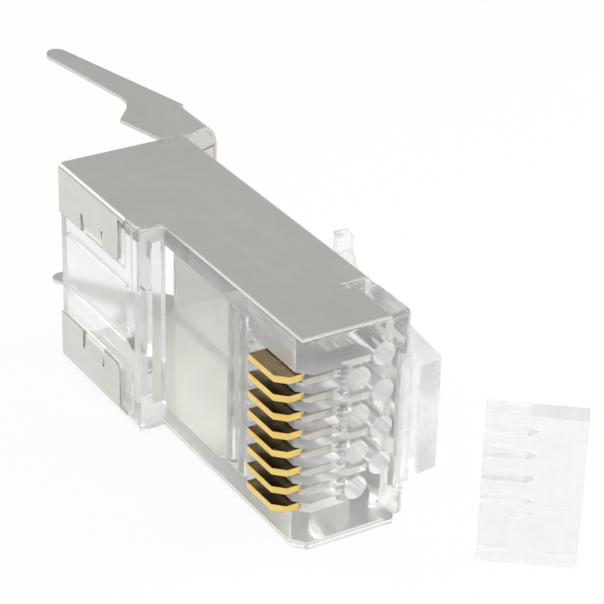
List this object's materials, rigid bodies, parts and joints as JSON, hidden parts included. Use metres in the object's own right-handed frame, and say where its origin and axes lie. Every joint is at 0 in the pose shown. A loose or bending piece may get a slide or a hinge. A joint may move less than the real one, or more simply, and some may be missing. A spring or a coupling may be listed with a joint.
{
  "type": "shielded modular plug",
  "caption": "Shielded clear modular network plug, uncrimped, with sprung latch, lanced metal shell, open cable clamp and loose wire guide.",
  "frame": {"origin": "centre of the mating nose's front face", "axes": "+Y from the nose toward the cable, +X from the contact side to the latch side, +Z across the width; the plug lies on one narrow side"},
  "size_m": [0.0138, 0.0413, 0.0144],
  "materials": {
    "clear_housing": "clear polycarbonate, moulded gloss",
    "clear_latch": "clear polycarbonate, moulded gloss",
    "clear_guide": "clear polycarbonate, moulded gloss",
    "nickel_sheet": "satin nickel plating on rolled sheet",
    "gold_contact": "polished gold plating"
  },
  "bodies": {
    "plug": {"housing": "clear_housing", "shield_shell": "nickel_sheet", "wire_guide": "clear_guide", "contact_1": "gold_contact", "contact_2": "gold_contact", "contact_3": "gold_contact", "contact_4": "gold_contact", "contact_5": "gold_contact", "contact_6": "gold_contact", "contact_7": "gold_contact", "contact_8": "gold_contact"},
    "latch_arm": {"latch": "clear_latch"}
  },
  "joints": [
    {"name": "latch_bend", "type": "hinge", "parent": "plug", "child": "latch_arm", "pos_m": [0.00287, 0.0005, -0.0006], "axis": [0, 0, 1], "range_deg": [0, 13], "stiffness_Nm_per_rad": 0.3}
  ]
}
